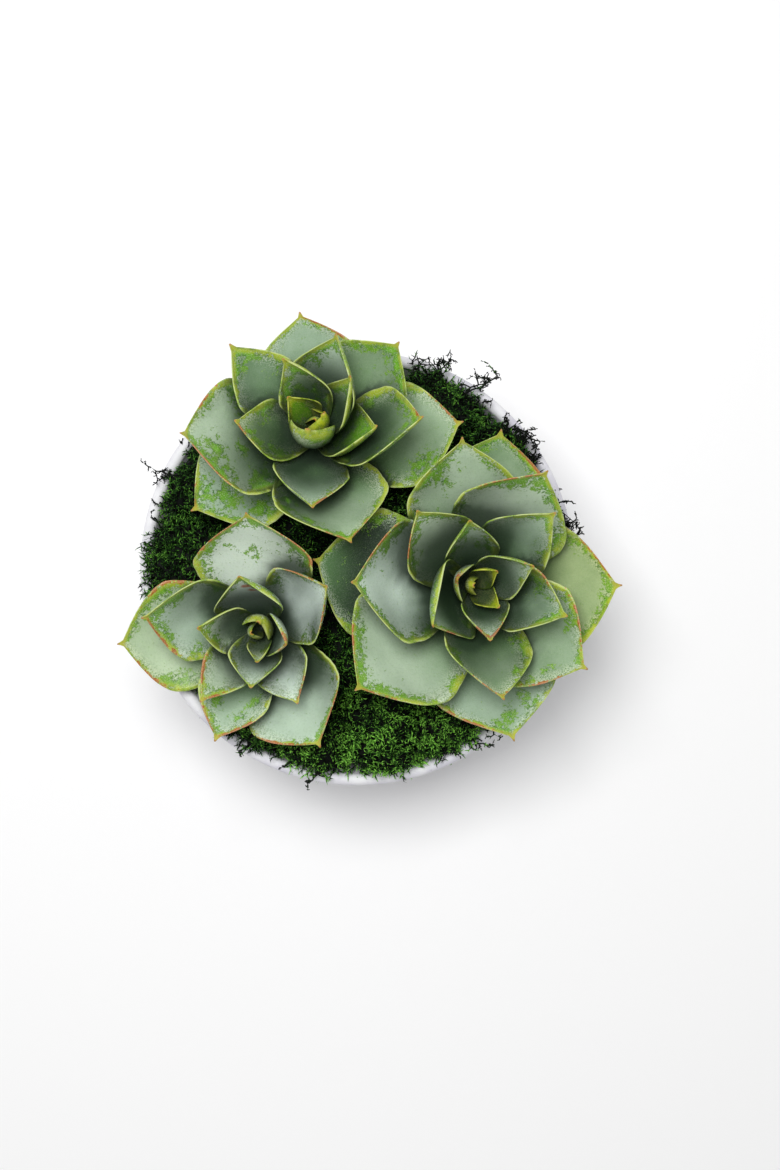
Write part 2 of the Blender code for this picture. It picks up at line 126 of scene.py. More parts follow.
def add_node(tree, kind, **settings):
    """Add a node: a setting that names an input is set or joined there, and any other is a property."""
    node = tree.nodes.new(kind)
    for key, value in settings.items():
        if hasattr(node, key):
            setattr(node, key, value)
            continue
        name = key.replace("_", " ").lower()
        socket = next(socket for socket in node.inputs if socket.name.lower() == name and socket.enabled)
        fill_socket(tree, socket, value)
    return node


def fill_socket(tree, socket, value):
    """Join an input to another socket, or set it to a value."""
    if isinstance(value, bpy.types.NodeSocket):
        tree.links.new(value, socket)
    else:
        socket.default_value = value


def object_noise(tree, scale, detail, roughness=0.5):
    """Noise that is fixed in the piece, with its scale in waves per metre."""
    place = add_node(tree, "ShaderNodeTexCoord").outputs["Object"]
    node = add_node(
        tree, "ShaderNodeTexNoise", Vector=place, Scale=scale, Detail=detail, Roughness=roughness,
    )
    return node.outputs["Fac"]


def ramp(tree, value, low, high, smooth=True):
    """0 below low and 1 above high, or the other way round where low is the greater."""
    node = add_node(tree, "ShaderNodeMapRange", Value=value, From_Min=low, From_Max=high)
    node.interpolation_type = "SMOOTHSTEP" if smooth else "LINEAR"
    return node.outputs["Result"]


def mixed(tree, share, first, second, blend="MIX"):
    """A colour between two others: a colour is a socket or three numbers."""
    node = add_node(tree, "ShaderNodeMix", data_type="RGBA", blend_type=blend)
    for socket, value in zip((node.inputs[0], node.inputs[6], node.inputs[7]), (share, first, second)):
        fill_socket(tree, socket, (*value, 1.0) if isinstance(value, tuple) else value)
    return node.outputs[2]


def worked(tree, operation, first, second):
    """One step of arithmetic on two values, each a socket or a number."""
    node = add_node(tree, "ShaderNodeMath", operation=operation)
    fill_socket(tree, node.inputs[0], first)
    fill_socket(tree, node.inputs[1], second)
    return node.outputs[0]


def plus(tree, first, second):
    return worked(tree, "ADD", first, second)


def times(tree, first, second):
    return worked(tree, "MULTIPLY", first, second)


def bumped(tree, shader, height, depth, strength=1.0):
    """Raise a material's surface by a height, to a depth in metres."""
    node = add_node(tree, "ShaderNodeBump", Height=height, Distance=depth, Strength=strength)
    tree.links.new(node.outputs["Normal"], shader.inputs["Normal"])


def mottle_group():
    """Two colours mottled by noise that is fixed in the piece, and that noise as a height."""
    group = bpy.data.node_groups.new("mottle", "ShaderNodeTree")
    for name in ("Scale", "Detail", "Roughness", "Low", "High"):
        group.interface.new_socket(name=name, in_out="INPUT", socket_type="NodeSocketFloat")
    for name in ("Dark", "Light"):
        group.interface.new_socket(name=name, in_out="INPUT", socket_type="NodeSocketColor")
    group.interface.new_socket(name="Colour", in_out="OUTPUT", socket_type="NodeSocketColor")
    group.interface.new_socket(name="Height", in_out="OUTPUT", socket_type="NodeSocketFloat")
    given = group.nodes.new("NodeGroupInput").outputs
    result = group.nodes.new("NodeGroupOutput").inputs
    height = object_noise(group, given["Scale"], given["Detail"], given["Roughness"])
    share = ramp(group, height, given["Low"], given["High"])
    group.links.new(mixed(group, share, given["Dark"], given["Light"]), result["Colour"])
    group.links.new(height, result["Height"])
    return group


def mottled(tree, scale, detail, roughness, low, high, dark, light):
    """The mottle group in a material: its colour and its height."""
    node = add_node(
        tree, "ShaderNodeGroup", node_tree=mottle, Scale=scale, Detail=detail, Roughness=roughness,
        Low=low, High=high, Dark=(*dark, 1.0), Light=(*light, 1.0),
    )
    return node.outputs["Colour"], node.outputs["Height"]


mottle = mottle_group()

bowl_white, shader = new_material("bowl_white", 0.62)
tree = bowl_white.node_tree
cast = mottled(tree, 55.0, 5.0, 0.62, 0.36, 0.66, (0.66, 0.65, 0.72), (0.82, 0.82, 0.84))[0]
pores = ramp(tree, object_noise(tree, 900.0, 2.0), 0.68, 0.76)
pored = mixed(tree, times(tree, pores, 0.5), cast, (0.42, 0.41, 0.46))
tree.links.new(pored, shader.inputs["Base Color"])
grain = plus(tree, object_noise(tree, 320.0, 5.0, 0.6), times(tree, pores, -0.6))
bumped(tree, shader, grain, 0.0004, 0.5)

lip = BOWL_WALL / 2
lip_height = BOWL_HEIGHT - lip
outline = [(0.0, 0.0), (FOOT_RADIUS - FOOT_BEVEL, 0.0)]
for row in range(WALL_ROWS):
    height = FOOT_BEVEL + (lip_height - FOOT_BEVEL) * row / WALL_ROWS
    outline.append((wall_radius(height, 0.0), height))
for step in range(LIP_STEPS + 1):
    turn = math.pi * step / LIP_STEPS
    outline.append((BOWL_RADIUS - lip + lip * math.cos(turn), lip_height + lip * math.sin(turn)))
for row in range(1, WALL_ROWS + 1):
    height = lip_height + (BOWL_FLOOR - lip_height) * row / WALL_ROWS
    outline.append((wall_radius(height, BOWL_WALL), height))
outline.append((0.0, BOWL_FLOOR))
bm = turned(outline, BOWL_TURNS)
for vert in bm.verts:
    if vert.co.z > FOOT_BEVEL:
        swell = WALL_UNEVENNESS * waved(vert.co, WALL_WAVES)
        vert.co += Vector((vert.co.x, vert.co.y, 0)).normalized() * swell
piece_from(bm, "white_bowl", bowl_white, ["bowl"])

# Soil
# Dark, crumbly potting soil fills the bowl to a finger's width under its lip.
# It is raked rough, with loose crumbs lying on it.
SOIL_TOP = 54.0
SOIL_GAP = 0.4
SOIL_TURNS = 90
SOIL_ROWS = 8
SOIL_RINGS = 28
SOIL_ROUGHNESS = 1.1
SOIL_WAVES = ((0.09, 1.0), (0.31, 0.6))
SOIL_SETTLED = 0.5
CRUMBS = 900
CRUMB_SEED = 3
CRUMB_SIZE = (0.6, 1.9)
CRUMB_MARGIN = 3.0
CRUMB_RISE = 0.2

soil_brown, shader = new_material("soil_brown", 0.95)
tree = soil_brown.node_tree
earth, crumbly = mottled(tree, 420.0, 6.0, 0.7, 0.35, 0.7, (0.008, 0.006, 0.004), (0.05, 0.032, 0.02))
tree.links.new(earth, shader.inputs["Base Color"])
bumped(tree, shader, crumbly, 0.001)

lowest = BOWL_FLOOR + SOIL_GAP
outline = [(0.0, lowest)]
for row in range(SOIL_ROWS + 1):
    height = lowest + (SOIL_TOP - lowest) * row / SOIL_ROWS
    outline.append((wall_radius(height, BOWL_WALL) - SOIL_GAP, height))
edge_radius = outline[-1][0]
outline += [(edge_radius * (1 - ring / SOIL_RINGS), SOIL_TOP) for ring in range(1, SOIL_RINGS)]
outline.append((0.0, SOIL_TOP))
bm = turned(outline, SOIL_TURNS)
for vert in bm.verts:
    if vert.co.z > SOIL_TOP - 0.1:
        place = Vector((vert.co.x, vert.co.y, 0))
        vert.co.z += SOIL_ROUGHNESS * (waved(place, SOIL_WAVES) - SOIL_SETTLED)
rng = random.Random(CRUMB_SEED)
for _ in range(CRUMBS):
    turn = rng.uniform(0, math.tau)
    distance = (edge_radius - CRUMB_MARGIN) * math.sqrt(rng.random())
    size = rng.uniform(*CRUMB_SIZE)
    height = SOIL_TOP + size * CRUMB_RISE
    spot = Matrix.Translation((distance * math.cos(turn), distance * math.sin(turn), height))
    squash = Matrix.Diagonal((size, size * rng.uniform(0.5, 1), size * rng.uniform(0.4, 0.9), 1))
    tumble = Matrix.Rotation(rng.uniform(0, math.tau), 4, Vector((rng.random(), rng.random(), 0.3)))
    bmesh.ops.create_icosphere(bm, subdivisions=1, radius=1.0, matrix=spot @ tumble @ squash)
piece_from(bm, "potting_soil", soil_brown, ["soil"])

# Stems
# Each rosette stands on a short woody stem that leans outwards, set into the soil.
# Bark in low rings marks where older leaves were shed.
GAP = 0.3
STEM_RADIUS = 6.3
STEM_TURNS = 32
STEM_RINGS = 44
LEAF_SCARS = 9
SCAR_DEPTH = 0.5
STEM_SWELL = 0.07
HOLE_DEPTH = 22.0
CROWN_DROP = 7.0
CROWNS = {
    "back": ((-17.5, 59.5, 75.0), 10.0, 106.0),
    "right": ((49.5, -7.5, 75.0), 9.0, -8.0),
    "left": ((-41.0, -26.0, 74.0), 9.0, 213.0),
}


def plant_frame(plant):
    """The plant's own frame: its axis as Z, from the crown's lowest leaf, with X as near +X as may be."""
    crown, lean, towards = CROWNS[plant]
    lean, towards = math.radians(lean), math.radians(towards)
    axis = Vector((math.sin(lean) * math.cos(towards), math.sin(lean) * math.sin(towards), math.cos(lean)))
    across = (Vector((1, 0, 0)) - axis * axis.x).normalized()
    turned_to = Matrix((across, axis.cross(across), axis)).transposed()
    return Matrix.Translation(Vector(crown)) @ turned_to.to_4x4()


bark, shader = new_material("stem_bark", 0.85)
tree = bark.node_tree
woody, fissures = mottled(tree, 500.0, 5.0, 0.65, 0.35, 0.65, (0.06, 0.035, 0.02), (0.26, 0.18, 0.11))
tree.links.new(woody, shader.inputs["Base Color"])
bumped(tree, shader, fissures, 0.0008)

for plant, (crown, lean, towards) in CROWNS.items():
    slope = math.cos(math.radians(lean))
    start = (SOIL_TOP - HOLE_DEPTH + GAP - crown[2]) / slope
    end = -CROWN_DROP - GAP
    outline = [(0.0, start)]
    for ring in range(STEM_RINGS + 1):
        share = ring / STEM_RINGS
        scar = SCAR_DEPTH * abs(math.sin(math.pi * LEAF_SCARS * share))
        outline.append((STEM_RADIUS - scar, start + (end - start) * share))
    outline.append((0.0, end))
    bm = turned(outline, STEM_TURNS)
    for vert in bm.verts:
        swell = 1 + STEM_SWELL * noise.noise(vert.co * 0.25)
        vert.co.x *= swell
        vert.co.y *= swell
    bmesh.ops.transform(bm, matrix=plant_frame(plant), verts=bm.verts)
    piece_from(bm, "woody_stem_" + plant, bark, ["stem_" + plant])

# Rosettes
# Fleshy leaves stand round each crown, wide and nearly flat outside, short and upright at the heart.
# Wax gives them a pale bloom, worn off in speckled green patches and along the margins; margins are lime,
# flushed red in places, and end in a small horny point.
# Painted shade darkens each leaf towards its root and where other leaves stand over it.

# Form of a leaf, as in the solids: shares of its length or width, and thicknesses. A pair is for the
# outermost and the innermost leaf. The margin is thinner here, and ripples
LEAF_ROOT = 3.0
ROOT_CLOSING = 4
LEAF_RISE = 14.0
LEAF_BASE_WIDTH = 0.36
LEAF_WIDEST = (0.62, 0.44)
LEAF_SHOULDER = 0.968
LEAF_ROUNDNESS = (1.75, 1.3)
LEAF_BOW = 0.085
BUD_LIFT = 60.0
BUD_CURL = 0.004
LEAF_THICKNESS = 4.4
THICK_WIDTH = 26.0
LEAF_EDGE = 0.4
LEAF_TAPER = 0.6
SPINE_WIDTH = 1.7
SPINE_POINT = 0.14
CROWN_TOP = 14.5
CROWN_RADIUS = 9.2
CROWN_TIP_RADIUS = 1.9
CROWN_SIDES = 40
EDGE_RIPPLE = 0.024
FACE_RIPPLE = 0.55
LEAF_SEED = 1.37

# Grid of a leaf: a leaf narrower than the full width has fewer rows, and rows crowd towards the margins
ALONG_ROWS = 40
ACROSS_ROWS = 22
FULL_WIDTH = 42.0
LEAST_SIZE = 0.5
LEAST_ROWS = 0.65
EVEN_SHARE = 0.65
TIP_CROWDING = 0.85

# These rays measure how much other leaves cover each corner, and the leaf colour is darkened there as painted
# shade
# Rays that feel for other leaves: tilt from the surface's normal and how many at that tilt
SKY_RAYS = ((0.0, 1), (0.5, 5), (0.95, 7), (1.3, 7))
SKY_REACH = 14.0
SKY_START = 0.4

# Worn margin: its width at the root and how much more at the tip, and how far that width wanders
WORN_WIDTH = (1.3, 3.0)
WORN_WANDER = 1.7
WORN_LEAST = 0.25
PATCH_HEART = 0.9
PATCH_FADE = 1.3

# Each leaf, outermost first: turn, lift, length, width, cup, sweep, roll; how thick its bloom is, how wide
# its green margin is and how yellow it is; worn patches by place along and across and size; and reddened
# stretches of margin by place along, side and length
# Bloom is partly the wax itself and partly painted light: it is raised on leaves that face away from the
# lamp, and below 0 it darkens a leaf as painted shade
LEAVES = {
    "back": (
        ((-6, 9, 63, 50, 23, 11, 0), (0.36, 2, 0.1), ((0.67, -0.6, 7), (0.78, -0.8, 4)), ((0.95, 1, 12),)),
        ((209, 8, 64, 48, 22, 4, -3), (0.5, 2, 0), ((0.81, -0.3, 7), (0.73, 0.1, 10), (0.57, 0.6, 8)),
         ((0.98, -1, 6),)),
        ((96, 12, 54, 46, 26, 2, 0), (0.36, 1, 0), (), ((0.85, -1, 14),)),
        ((273, 20, 54, 53, 34, 14, -12), (0.44, 3, 0.1), ((0.52, -0.7, 6), (0.73, -0.6, 5), (0.8, 0.95, 4)),
         ((0.93, 1, 5), (0.95, -1, 4))),
        ((191, 30, 63, 57, 23, -5, 7), (0.62, 3.5, 0.1), ((0.72, 0.18, 7), (0.66, 0.58, 5), (0.52, 0.15, 5)),
         ((0.85, 1, 14), (0.8, -1, 8))),
        ((43, 23, 54, 48, 28, 1, 2), (0.26, 2, 0.1), ((0.9, 0.3, 9), (0.85, -0.45, 9), (0.75, -0.75, 6)), ()),
        ((258, 31, 40, 34, 40, 8, -6), (0.42, 1.5, 0), (), ((0.95, 1, 7),)),
        ((141, 28, 54, 32, 36, -4, 2), (0.2, 2, 0), ((0.92, 0.3, 8), (0.73, -0.9, 4), (0.84, 0.65, 5)), ()),
        ((349, 36, 56, 43, 33, 8, -17), (0.22, 3, 0.1), ((0.71, 0.8, 4), (0.8, 0, 3)), ((0.95, 1, 6),)),
        ((190, 38, 39, 29, 36, -6, 0), (0.22, 2.5, 0.2), ((0.78, 0.2, 4), (0.53, 0.43, 4), (0.6, -0.7, 6)),
         ((0.9, 1, 6),)),
        ((63, 41, 46, 38, 53, 7, -19), (0.7, 2, 0), ((0.63, 0.7, 3), (0.86, 0.45, 3), (0.82, -0.9, 3)), ()),
        ((338, 45, 36, 28, 48, 7, -8), (0, 3, 0.2), ((0.65, 0, 26),), ()),
        ((95, 51, 38, 24, 54, 10, -5), (0.45, 3, 0.1), ((0.79, 0.1, 4), (0.65, 0.5, 4), (0.47, -0.3, 3)), ()),
        ((28, 54, 36, 22, 54, 7, -10), (0.35, 2.5, 0.1), ((0.71, 0.5, 4), (0.68, 0.05, 3)), ()),
        ((263, 80, 32, 19, 90, 0, 0), (0.45, 2, 0.2), ((0.7, 0, 3),), ()),
        ((128, 50, 22, 17, 56, 2, 0), (0.1, 1, 0.8), ((0.5, 0, 20),), ()),
        ((340, 80, 17, 12, 110, 5, 0), (0.2, 1, 1), (), ()),
        ((60, 84, 13, 8, 90, 0, 0), (0.2, 1, 0.8), (), ()),
    ),
    "right": (
        ((177, 4, 68, 60, 18, -8, 0), (-0.5, 2, 0), (), ()),
        ((74, 10, 69, 56, 22, 6, 0), (0.26, 2, 0.1), ((0.81, -0.9, 6), (0.7, -0.95, 5)), ((0.8, -1, 14),)),
        ((354, 18, 67, 59, 19, 7, 5), (0.43, 2, 0.5), (), ((0.85, 1, 15), (0.98, 1, 4))),
        ((286, 12, 71, 61, 19, -1, -2), (0.48, 1.5, 0), ((0.71, 0.35, 3), (0.76, 0.5, 3), (0.81, 0.7, 4),
         (0.83, 0.1, 5), (0.88, -0.4, 4)), ((0.8, -1, 10),)),
        ((96, 21, 67, 52, 24, 0, 2), (0.68, 3, 0.1), ((0.77, 0.8, 5), (0.68, 0.33, 4), (0.6, 0.95, 4)), ()),
        ((225, 22, 73, 61, 23, -7, 3), (0.72, 2, 0.1), ((0.77, -0.75, 6), (0.68, -0.7, 4), (0.86, -0.5, 5),
         (0.84, 0.4, 3), (0.47, 1, 5)), ((0.9, 1, 10), (0.8, -1, 8))),
        ((321, 24, 64, 52, 24, 2, 10), (0.36, 2, 0.1), ((0.6, 0.9, 4), (0.7, -0.9, 4), (0.75, -0.5, 3)),
         ((0.78, 1, 12), (0.8, -1, 8))),
        ((64, 31, 64, 55, 27, -4, 10), (0.85, 2.5, 0.1), ((0.76, 0.8, 4), (0.9, 0.2, 4)), ((0.85, 1, 12),)),
        ((178, 29, 62, 55, 34, 0, 6), (0.9, 2.5, 0), ((0.87, 0.43, 4), (0.8, 0.7, 4), (0.63, 0.93, 3),
         (0.9, -0.3, 4)), ((0.76, -1, 13),)),
        ((277, 36, 58, 43, 30, 3, -18), (0.25, 2, 0.1), ((0.59, 0.78, 3), (0.72, 0.7, 3)),
         ((0.9, -1, 6), (0.95, 1, 4))),
        ((134, 37, 51, 36, 38, -2, -3), (0.8, 2, 0.1), ((0.75, -0.65, 3),), ((0.75, 1, 9),)),
        ((48, 39, 54, 34, 38, -2, 6), (0.55, 1.5, 0), (), ()),
        ((342, 42, 49, 31, 42, -1, -8), (0.3, 2, 0), ((0.62, 0.5, 3), (0.77, 0.5, 3), (0.78, -0.5, 3)),
         ((0.65, 1, 6),)),
        ((200, 49, 36, 38, 52, 9, -8), (0.3, 2, 0), ((0.8, 0.6, 2),), ((0.8, 1, 5),)),
        ((98, 48, 40, 25, 48, 2, 4), (0.7, 3, 0), ((0.9, 0.3, 4), (0.57, 0.8, 3)), ()),
        ((293, 52, 34, 21, 60, -6, -14), (0.5, 1, 0), (), ((0.85, 1, 5), (0.85, -1, 5))),
        ((27, 56, 38, 22, 56, -2, 6), (0.65, 1, 0), (), ((0.97, 1, 4),)),
        ((162, 66, 21, 17, 60, 0, 0), (0.4, 1, 0), (), ((0.95, 1, 4), (0.95, -1, 4))),
        ((313, 58, 22, 11, 58, 0, 0), (0.15, 1, 0.9), (), ()),
        ((50, 62, 20, 11, 60, -2, 0), (0.15, 1, 0.9), (), ()),
        ((170, 82, 15, 7, 105, 0, 0), (0.2, 1, 0.7), (), ()),
    ),
    "left": (
        ((185, 16, 65, 52, 20, 2, -6), (0.65, 2.5, 0.2), ((0.84, 0.9, 3), (0.7, 0.9, 5), (0.55, 0.95, 5)),
         ((0.8, 1, 8), (0.6, -1, 16))),
        ((296, 18, 59, 53, 28, 2, 17), (0.75, 1.5, 0), ((0.61, 0.75, 2),), ((0.8, -1, 14), (0.85, 1, 12))),
        ((92, 26, 55, 55, 34, 2, -5), (1.15, 2.5, 0.1), ((0.62, 0.05, 3), (0.56, 0.03, 2.5), (0.6, 0.28, 2),
         (0.96, 0, 6), (0.8, -0.8, 4)), ((0.8, 1, 14), (0.7, -1, 14))),
        ((246, 17, 54, 34, 28, 2, 2), (0.5, 2, 0), ((0.67, -0.4, 4), (0.73, 0.45, 4), (0.56, 0.6, 4)),
         ((0.85, 1, 13), (0.87, -1, 8))),
        ((31, 33, 42, 37, 50, 1, -5), (1.15, 1.5, 0), (), ((0.8, 1, 12), (0.8, -1, 5))),
        ((164, 31, 54, 42, 31, 8, -16), (0.75, 2, 0), (), ((0.85, 1, 14),)),
        ((301, 26, 38, 26, 42, -1, 4), (0.95, 1, 0), ((0.76, 0.95, 3),), ((0.9, 1, 6),)),
        ((228, 32, 43, 23, 40, 3, 2), (0.7, 1, 0.1), (), ((0.72, -1, 9), (0.88, 1, 8))),
        ((102, 45, 32, 32, 58, 1, -10), (1, 2, 0), ((0.8, -0.3, 3),), ((0.72, 0, 3), (0.62, -0.12, 2.5))),
        ((262, 43, 30, 24, 50, 2, 0), (0.8, 1, 0), ((0.97, 0, 3),), ()),
        ((175, 49, 33, 22, 50, 0, -15), (0.8, 1.5, 0.1), ((0.97, 0, 3),), ((0.97, 1, 2),)),
        ((351, 60, 28, 19, 62, -2, 4), (0.8, 1, 0), ((0.6, 0.8, 2),), ((0.88, 1, 5), (0.92, -1, 4))),
        ((279, 60, 23, 11, 56, 0, 0), (0.8, 1, 0.2), (), ()),
        ((60, 76, 20, 13, 95, 0, 0), (0.75, 1, 0.4), (), ()),
        ((200, 84, 14, 7, 105, 0, 0), (0.65, 1, 0.3), (), ()),
    ),
}

# What each corner of a leaf carries for the material: the first six from the leaf itself, the last from
# the leaves round it, for the painted shade between leaves
FIELDS = ("along", "rim", "bloom_and_painted_light", "worn", "flushed", "yellow", "near")


def between(pair, share):
    return pair[0] + (pair[1] - pair[0]) * share


def leaf_half_width(along, rank, width, side, seed):
    """Half width of a leaf: outer leaves are rounder and widest further out, and the edge ripples."""
    widest = between(LEAF_WIDEST, rank)
    if along < widest:
        share = LEAF_BASE_WIDTH + (1 - LEAF_BASE_WIDTH) * math.sin(math.pi / 2 * along / widest)
    else:
        past = min(1.0, (along - widest) / (LEAF_SHOULDER - widest))
        share = 1 - past ** between(LEAF_ROUNDNESS, rank)
    slow, quick = (noise.noise(Vector((along * waves, side * 3, seed))) for waves in (7, 21))
    spine = SPINE_WIDTH / 2 * min(1.0, (1 - along) / (1 - LEAF_SHOULDER)) ** 0.8
    return max(width / 2 * share * (1 + EDGE_RIPPLE * (slow + 0.5 * quick)), SPINE_POINT, spine)


def leaf_point(leaf, rank, along, across, under, seed):
    """A point of a leaf in its plant's frame, and how wide the leaf's half is there."""
    turn, steep, length, width, cup, sweep, roll = leaf
    turn, lift, cup, roll = (math.radians(angle) for angle in (turn, steep, cup, roll))
    up = Vector((0, 0, 1))
    out = Vector((math.cos(turn), math.sin(turn), 0))
    level = up.cross(out)
    chord = out * math.cos(lift) + up * math.sin(lift)
    square = up * math.cos(lift) - out * math.sin(lift)
    bow = (LEAF_BOW + BUD_CURL * max(0.0, steep - BUD_LIFT)) * length * 4
    root = LEAF_ROOT * (1 - rank ** ROOT_CLOSING)
    middle = out * root + up * (LEAF_RISE * rank) + chord * (length * along)
    middle += level * (sweep * along ** 2) - square * (bow * along * (1 - along))
    slope = chord * length + level * (2 * sweep * along) - square * (bow * (1 - 2 * along))
    flat_face = slope.cross(level).normalized()
    flat_side = flat_face.cross(slope).normalized()
    side = flat_side * math.cos(roll) + flat_face * math.sin(roll)
    face = flat_face * math.cos(roll) - flat_side * math.sin(roll)
    half = leaf_half_width(along, rank, width, math.copysign(1, across), seed)
    radius = half / math.sin(cup)
    bend = cup * across
    point = middle + side * (radius * math.sin(bend)) + face * (radius * (1 - math.cos(bend)))
    calm = min(1.0, half / 6) * min(1.0, along * 4)
    point += face * (FACE_RIPPLE * calm * noise.noise(Vector((across * 1.3, along * 3, seed + 9))))
    if under:
        most = (LEAF_THICKNESS - LEAF_EDGE) * min(1.0, width / THICK_WIDTH)
        full = LEAF_EDGE + most * (1 - along) ** LEAF_TAPER
        thickness = LEAF_EDGE + (full - LEAF_EDGE) * (1 - across ** 2)
        point -= (face * math.cos(bend) - side * math.sin(bend)) * thickness
    return point, half


def leaf_wear(along, across, half, length, margin, patches, seed):
    """Over 0 where the bloom is worn off: in the margin, whose width wanders, and in the patches."""
    rim = half * (1 - abs(across))
    wander = noise.noise(Vector((along * 6, math.copysign(2, across), seed)))
    width = margin * between(WORN_WIDTH, along) * max(WORN_LEAST, 1 + WORN_WANDER * wander)
    worn = 1 - rim / width
    for place, side, size in patches:
        away = math.hypot((along - place) * length, (across - side) * half)
        worn = max(worn, PATCH_HEART - PATCH_FADE * away / size)
    return max(-1.0, worn)


def leaf_flush(along, across, half, length, stretches):
    """Over 0 along the reddened stretches of margin, and over 1 in streaks away from it."""
    flushed = -1.0
    for place, side, size in stretches:
        if abs(side) == 1:
            if side * across >= 0:
                flushed = max(flushed, 1 - abs(along - place) * length / size)
        else:
            away = math.hypot((along - place) * length * 2, (across - side) * half)
            flushed = max(flushed, 2 - away / size)
    return flushed


def grow_leaf(bm, row, rank, seed):
    """Add one closed leaf: a grid for its upper face, a copy beneath, and an edge bridged between them."""
    leaf, (bloom_and_painted_light, margin, yellow), patches, stretches = row
    length, width = leaf[2:4]
    layers = [bm.verts.layers.float[name] for name in FIELDS[:-1]]
    size = max(LEAST_SIZE, min(1.0, width / FULL_WIDTH))
    rows, columns = round(ALONG_ROWS * max(LEAST_ROWS, size)), round(ACROSS_ROWS * size)
    grid = bmesh.ops.create_grid(bm, x_segments=columns, y_segments=rows, size=1.0)["verts"]
    faces = list({face for vert in grid for face in vert.link_faces})
    edges = list({edge for vert in grid for edge in vert.link_edges})
    twin = bmesh.ops.duplicate(bm, geom=grid + edges + faces)["geom"]
    bmesh.ops.reverse_faces(bm, faces=faces)
    rims = [edge for edge in edges if edge.is_boundary]
    rims += [edge for edge in twin if isinstance(edge, bmesh.types.BMEdge) and edge.is_boundary]
    for under, verts in ((0, grid), (1, [item for item in twin if isinstance(item, bmesh.types.BMVert)])):
        for vert in verts:
            across = math.sin(vert.co.x * math.pi / 2) * (1 - EVEN_SHARE) + vert.co.x * EVEN_SHARE
            along = ((vert.co.y + 1) / 2) ** TIP_CROWDING
            vert.co, half = leaf_point(leaf, rank, along, across, under, seed)
            worn = leaf_wear(along, across, half, length, margin, () if under else patches, seed)
            flushed = leaf_flush(along, across, half, length, stretches)
            values = (along, half * (1 - abs(across)), bloom_and_painted_light, worn, flushed, yellow)
            for layer, value in zip(layers, values):
                vert[layer] = value
    edging = bmesh.ops.bridge_loops(bm, edges=rims)["faces"]
    whole = faces + edging + [item for item in twin if isinstance(item, bmesh.types.BMFace)]
    bmesh.ops.recalc_face_normals(bm, faces=whole)


def find_near_leaves(bm):
    """Store how closely other leaves of the same plant stand over each corner, for painted shade."""
    layer = bm.verts.layers.float["near"]
    found = BVHTree.FromBMesh(bm)
    bm.normal_update()
    ways = []
    for tilt, count in SKY_RAYS:
        for index in range(count):
            turn = math.tau * (index + tilt) / count
            aside = math.sin(tilt)
            ways.append(Vector((aside * math.cos(turn), aside * math.sin(turn), math.cos(tilt))))
    for vert in bm.verts:
        start = vert.co + vert.normal * SKY_START
        for way in ways:
            hit = found.ray_cast(start, way, SKY_REACH)
            if hit[0] is not None:
                vert[layer] += (1 - hit[3] / SKY_REACH) / len(ways)


def minus(tree, first, second):
    return worked(tree, "SUBTRACT", first, second)


leaf_wax, shader = new_material("leaf_wax", 0.5)
tree = leaf_wax.node_tree
along, rim, bloom_and_painted_light, worn, flushed, yellow, near = (
    add_node(tree, "ShaderNodeAttribute", attribute_name=name).outputs["Fac"] for name in FIELDS
)
broad = object_noise(tree, 60.0, 3.0)
patchy = object_noise(tree, 260.0, 5.0, 0.6)
speckle = object_noise(tree, 1000.0, 4.0, 0.75)
powder = object_noise(tree, 1900.0, 3.0, 0.7)
outer = minus(tree, 1.0, ramp(tree, rim, 1.0, 11.0))

# Flesh under a powdery bloom that thickens outwards. The flesh darkening and the bloom thinning towards the
# root are painted shade of the rosette's depths, and a bloom below 0 darkens the leaf further as painted
# shade
flesh_light_share = plus(tree, along, worked(tree, "MINIMUM", bloom_and_painted_light, 0.0))
flesh = mixed(tree, ramp(tree, flesh_light_share, 0.14, 0.46), (0.018, 0.042, 0.018), (0.10, 0.21, 0.075))
powdery = plus(tree, bloom_and_painted_light, times(tree, minus(tree, broad, 0.5), 0.6))
reach = plus(tree, along, times(tree, ramp(tree, bloom_and_painted_light, 0.5, 1.1, False), 0.3))
powdery = times(tree, powdery, ramp(tree, reach, 0.34, 0.76))
pale = mixed(tree, ramp(tree, bloom_and_painted_light, 0.65, 1.15), (0.63, 0.79, 0.63), (0.69, 0.81, 0.73))
colour = mixed(tree, powdery, flesh, pale)

# Green dots and grains of wax, thickest near the margin
dots = ramp(tree, plus(tree, speckle, times(tree, outer, 0.07)), 0.535, 0.565)
dots = times(tree, dots, plus(tree, times(tree, outer, 0.6), 0.1))
colour = mixed(tree, dots, colour, (0.09, 0.22, 0.03))
frost = ramp(tree, plus(tree, powder, times(tree, outer, 0.06)), 0.52, 0.56)
frost = times(tree, frost, plus(tree, times(tree, outer, 0.7), 0.06))
colour = mixed(tree, frost, colour, (0.70, 0.80, 0.62))

# Worn patches and margins with torn outlines: fresh green, vivid inside and lime at the edge
torn = plus(tree, times(tree, patchy, 4.5), times(tree, speckle, 4.0))
torn = plus(tree, torn, times(tree, powder, 1.5))
torn = plus(tree, worn, minus(tree, torn, 4.95))
torn = ramp(tree, torn, 0.1, 0.22)
fresh = mixed(tree, ramp(tree, patchy, 0.42, 0.56), (0.035, 0.15, 0.005), (0.15, 0.37, 0.010))
vivid = times(tree, ramp(tree, worn, 0.35, 0.8), ramp(tree, rim, 1.5, 4.0))
fresh = mixed(tree, times(tree, vivid, 0.7), fresh, (0.15, 0.46, 0.006))
varied = ramp(tree, object_noise(tree, 130.0, 3.0), 0.40, 0.56)
limy = times(tree, ramp(tree, rim, 4.5, 1.5), plus(tree, times(tree, varied, 0.6), 0.4))
fresh = mixed(tree, limy, fresh, (0.43, 0.54, 0.030))
flecks = times(tree, ramp(tree, powder, 0.54, 0.58), 0.45)
flecked = mixed(tree, flecks, fresh, (0.62, 0.72, 0.42))
colour = mixed(tree, times(tree, torn, 0.95), colour, flecked)

